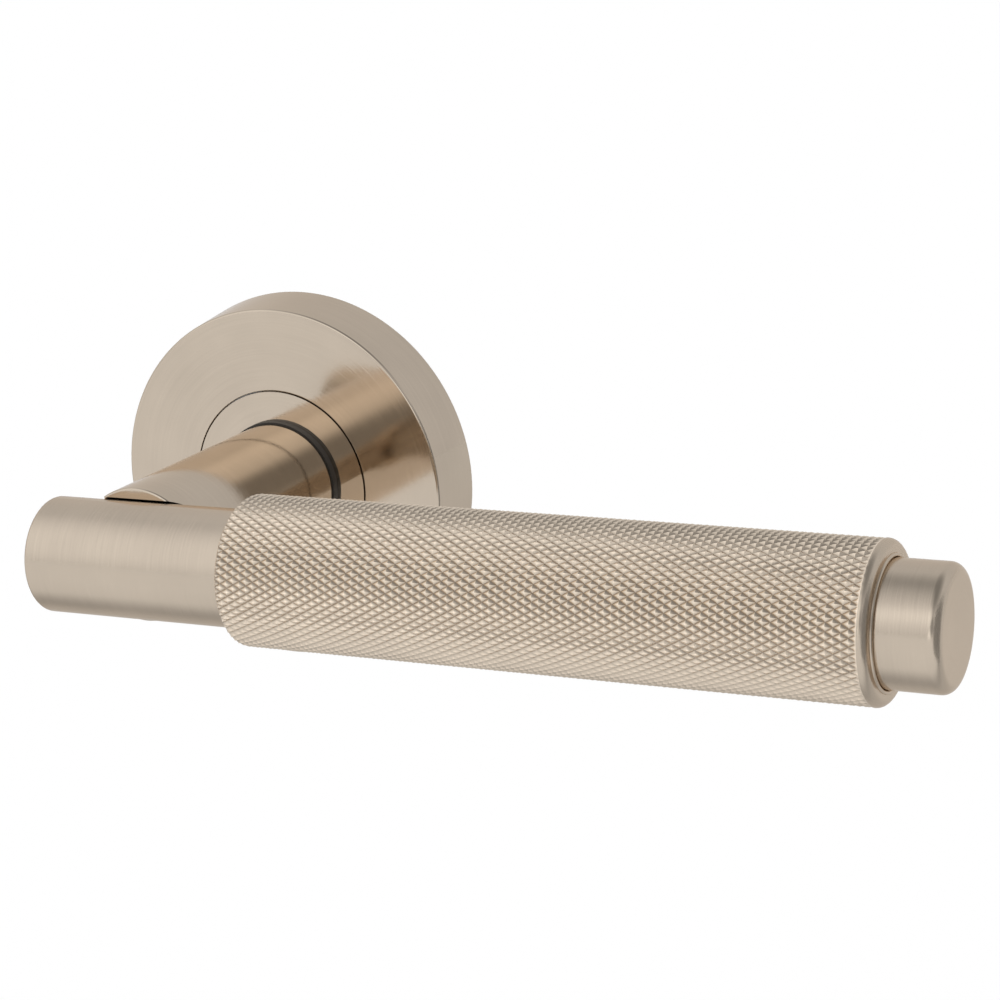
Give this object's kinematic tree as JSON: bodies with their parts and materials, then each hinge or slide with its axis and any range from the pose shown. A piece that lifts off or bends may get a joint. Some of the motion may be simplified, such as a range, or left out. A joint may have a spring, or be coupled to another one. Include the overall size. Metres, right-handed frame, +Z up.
{
  "type": "door lever handle",
  "caption": "Sprung door lever handle on a round rose: straight round bar on a short neck, diamond-knurled grip sleeve and plain round end cap.",
  "frame": {"origin": "spindle axis in the plane of the door face, which is the centre of the two bolt holes", "axes": "+X along the lever to its tip, -Y out of the door towards the hand, +Z up"},
  "size_m": [0.1363, 0.0572, 0.052],
  "materials": {
    "satin_nickel": "warm satin nickel, brushed round the turned axis",
    "knurled_nickel": "warm satin nickel over a fine diamond knurl",
    "zinc_casting": "bare zinc die casting",
    "dark_nylon": "moulded dark grey nylon",
    "white_acetal": "moulded natural acetal",
    "zinc_plated_steel": "bright zinc-plated steel",
    "spring_steel": "drawn spring steel",
    "black_steel": "black oxide steel"
  },
  "bodies": {
    "rose": {"base_plate": "zinc_casting", "inner_ring": "satin_nickel", "bearing_bush": "dark_nylon", "back_plate": "zinc_plated_steel", "back_plate_screws": "zinc_plated_steel", "stop_pin": "zinc_plated_steel", "return_spring": "spring_steel", "cover_grip_ring": "spring_steel"},
    "cover": {"rose_cover": "satin_nickel"},
    "lever": {"neck": "satin_nickel", "thrust_washer": "white_acetal", "drive_cam": "zinc_plated_steel", "circlip": "black_steel", "spindle_grub_screw": "black_steel", "bar_screw_washer": "spring_steel", "bar_screw": "black_steel", "grip_bar": "satin_nickel", "knurled_sleeve": "knurled_nickel", "end_cap": "satin_nickel", "cap_stud": "zinc_plated_steel"}
  },
  "joints": [
    {"name": "lever_turn", "type": "hinge", "parent": "rose", "child": "lever", "pos_m": [0, 0, 0], "axis": [0, 1, 0], "range_deg": [0, 45], "stiffness_Nm_per_rad": 1.2, "springref_deg": -28.65, "deforming": ["return_spring"]},
    {"name": "cover_slide", "type": "slide", "parent": "rose", "child": "cover", "axis": [0, -1, 0], "range_m": [0, 0.028]}
  ]
}
